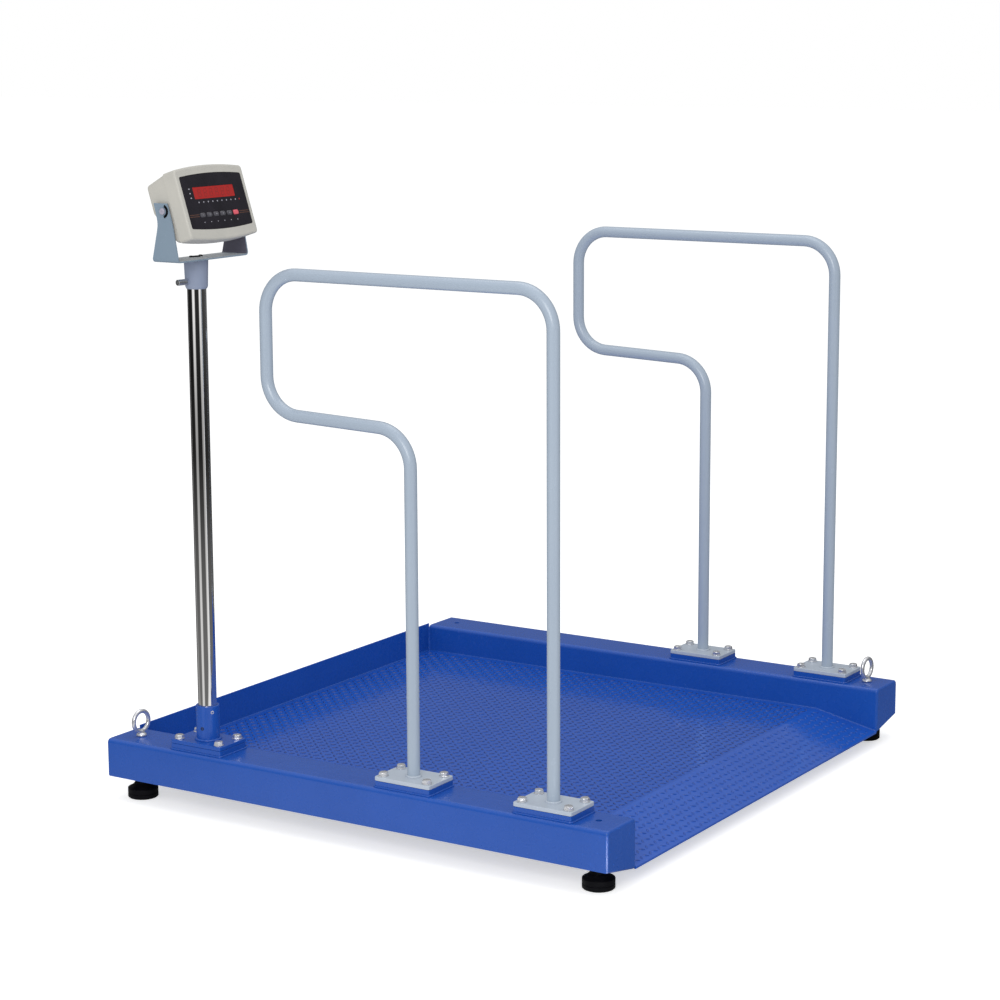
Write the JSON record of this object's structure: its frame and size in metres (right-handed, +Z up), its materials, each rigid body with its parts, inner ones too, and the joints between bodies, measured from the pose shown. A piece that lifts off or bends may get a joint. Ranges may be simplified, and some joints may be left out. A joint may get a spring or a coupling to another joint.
{
  "type": "wheelchair platform scale",
  "caption": "Low ramped weighing deck between two box rails, with bent handrails and a tilting indicator on a post.",
  "frame": {"origin": "middle of the bounding box, on the floor", "axes": "+X towards the ramp, +Z up, and the left rail, which carries the post, at -Y"},
  "size_m": [1.2, 1.3612, 1.3156],
  "materials": {
    "frame_paint": "gloss blue paint",
    "handrail_paint": "gloss blue-grey paint",
    "flange_paint": "semi-gloss silver grey paint",
    "bracket_paint": "satin paint",
    "adapter_paint": "satin paint",
    "stainless": "polished",
    "zinc": "bright zinc plate",
    "alloy": "satin",
    "rubber": "matte black",
    "housing_plastic": "fine grain",
    "panel_plastic": "semi-gloss film",
    "window_plastic": "clear red, gloss",
    "key_plastic": "satin",
    "stop_key_plastic": "satin",
    "board": "solder mask",
    "battery_plastic": "satin",
    "box_plastic": "fine grain",
    "gland_nylon": "satin"
  },
  "bodies": {
    "platform": {"left_rail": "frame_paint", "right_rail": "frame_paint", "deck_plate": "frame_paint", "rear_wall": "frame_paint", "deck_channel_1": "frame_paint", "deck_channel_2": "frame_paint", "deck_channel_3": "frame_paint", "deck_channel_4": "frame_paint", "cell_spacer_rear_left": "frame_paint", "cell_spacer_rear_right": "frame_paint", "cell_spacer_front_left": "frame_paint", "cell_spacer_front_right": "frame_paint", "load_cell_rear_left": "alloy", "load_cell_rear_right": "alloy", "load_cell_front_left": "alloy", "load_cell_front_right": "alloy", "lifting_eye_left": "zinc", "lifting_eye_right": "zinc", "junction_box": "box_plastic", "junction_box_lid": "box_plastic", "left_handrail": "handrail_paint", "right_handrail": "handrail_paint", "front_left_leg_pad": "frame_paint", "rear_left_leg_pad": "frame_paint", "front_right_leg_pad": "frame_paint", "rear_right_leg_pad": "frame_paint", "front_left_leg_flange": "flange_paint", "rear_left_leg_flange": "flange_paint", "front_right_leg_flange": "flange_paint", "rear_right_leg_flange": "flange_paint", "post_pad": "frame_paint", "post_base_plate": "frame_paint", "post_socket": "frame_paint", "post_tube": "stainless"},
    "head": {"post_adapter": "adapter_paint", "tilt_bracket": "bracket_paint", "pivot_screw_left": "zinc", "pivot_screw_right": "zinc"},
    "clamp_screw": {"clamp_screw": "zinc"},
    "indicator": {"rear_housing": "housing_plastic", "front_bezel": "housing_plastic", "display_panel": "panel_plastic", "display_window": "window_plastic", "circuit_board": "board", "battery": "battery_plastic", "cable_gland": "gland_nylon"},
    "key_1": {"key_1": "key_plastic"},
    "key_2": {"key_2": "key_plastic"},
    "key_3": {"key_3": "key_plastic"},
    "key_4": {"key_4": "key_plastic"},
    "key_5": {"key_5": "key_plastic"},
    "key_6": {"key_6": "stop_key_plastic"},
    "foot_pad_rear_left": {"foot_pad_rear_left": "rubber"},
    "foot_pad_rear_right": {"foot_pad_rear_right": "rubber"},
    "foot_pad_front_left": {"foot_pad_front_left": "rubber"},
    "foot_pad_front_right": {"foot_pad_front_right": "rubber"},
    "foot_stud_rear_left": {"foot_stud_rear_left": "zinc"},
    "foot_stud_rear_right": {"foot_stud_rear_right": "zinc"},
    "foot_stud_front_left": {"foot_stud_front_left": "zinc"},
    "foot_stud_front_right": {"foot_stud_front_right": "zinc"}
  },
  "joints": [
    {"name": "head_swivel", "type": "hinge", "parent": "platform", "child": "head", "pos_m": [-0.372, -0.56685, 1.131], "axis": [0, 0, 1], "range_deg": [-170, 170]},
    {"name": "indicator_tilt", "type": "hinge", "parent": "head", "child": "indicator", "pos_m": [-0.362, -0.56685, 1.2303], "axis": [0, 1, 0], "range_deg": [-40, 40]},
    {"name": "clamp_screw_turn", "type": "hinge", "parent": "head", "child": "clamp_screw", "pos_m": [-0.37622, -0.59078, 1.0865], "axis": [-0.1736, -0.9848, 0], "range_deg": [0, 720]},
    {"name": "key_1_press", "type": "slide", "parent": "indicator", "child": "key_1", "axis": [-0.9548, 0, -0.2974], "range_m": [0, 0.0005], "stiffness_N_per_m": 2000},
    {"name": "key_2_press", "type": "slide", "parent": "indicator", "child": "key_2", "axis": [-0.9548, 0, -0.2974], "range_m": [0, 0.0005], "stiffness_N_per_m": 2000},
    {"name": "key_3_press", "type": "slide", "parent": "indicator", "child": "key_3", "axis": [-0.9548, 0, -0.2974], "range_m": [0, 0.0005], "stiffness_N_per_m": 2000},
    {"name": "key_4_press", "type": "slide", "parent": "indicator", "child": "key_4", "axis": [-0.9548, 0, -0.2974], "range_m": [0, 0.0005], "stiffness_N_per_m": 2000},
    {"name": "key_5_press", "type": "slide", "parent": "indicator", "child": "key_5", "axis": [-0.9548, 0, -0.2974], "range_m": [0, 0.0005], "stiffness_N_per_m": 2000},
    {"name": "key_6_press", "type": "slide", "parent": "indicator", "child": "key_6", "axis": [-0.9548, 0, -0.2974], "range_m": [0, 0.0005], "stiffness_N_per_m": 2000},
    {"name": "foot_height_rear_left", "type": "slide", "parent": "platform", "child": "foot_pad_rear_left", "axis": [0, 0, -1], "range_m": [0, 0.012]},
    {"name": "foot_height_rear_right", "type": "slide", "parent": "platform", "child": "foot_pad_rear_right", "axis": [0, 0, -1], "range_m": [0, 0.012]},
    {"name": "foot_height_front_left", "type": "slide", "parent": "platform", "child": "foot_pad_front_left", "axis": [0, 0, -1], "range_m": [0, 0.012]},
    {"name": "foot_height_front_right", "type": "slide", "parent": "platform", "child": "foot_pad_front_right", "axis": [0, 0, -1], "range_m": [0, 0.012]},
    {"name": "foot_stud_turn_rear_left", "type": "hinge", "parent": "foot_pad_rear_left", "child": "foot_stud_rear_left", "pos_m": [-0.55, -0.56685, 0.034], "axis": [0, 0, -1], "range_deg": [0, 2470]},
    {"name": "foot_stud_turn_rear_right", "type": "hinge", "parent": "foot_pad_rear_right", "child": "foot_stud_rear_right", "pos_m": [-0.55, 0.62815, 0.034], "axis": [0, 0, -1], "range_deg": [0, 2470]},
    {"name": "foot_stud_turn_front_left", "type": "hinge", "parent": "foot_pad_front_left", "child": "foot_stud_front_left", "pos_m": [0.55, -0.56685, 0.034], "axis": [0, 0, -1], "range_deg": [0, 2470]},
    {"name": "foot_stud_turn_front_right", "type": "hinge", "parent": "foot_pad_front_right", "child": "foot_stud_front_right", "pos_m": [0.55, 0.62815, 0.034], "axis": [0, 0, -1], "range_deg": [0, 2470]}
  ],
  "couplings": [
    {"joint": "foot_stud_turn_rear_left", "follows": "foot_height_rear_left", "rad_per_m": 3590.4},
    {"joint": "foot_stud_turn_rear_right", "follows": "foot_height_rear_right", "rad_per_m": 3590.4},
    {"joint": "foot_stud_turn_front_left", "follows": "foot_height_front_left", "rad_per_m": 3590.4},
    {"joint": "foot_stud_turn_front_right", "follows": "foot_height_front_right", "rad_per_m": 3590.4}
  ]
}
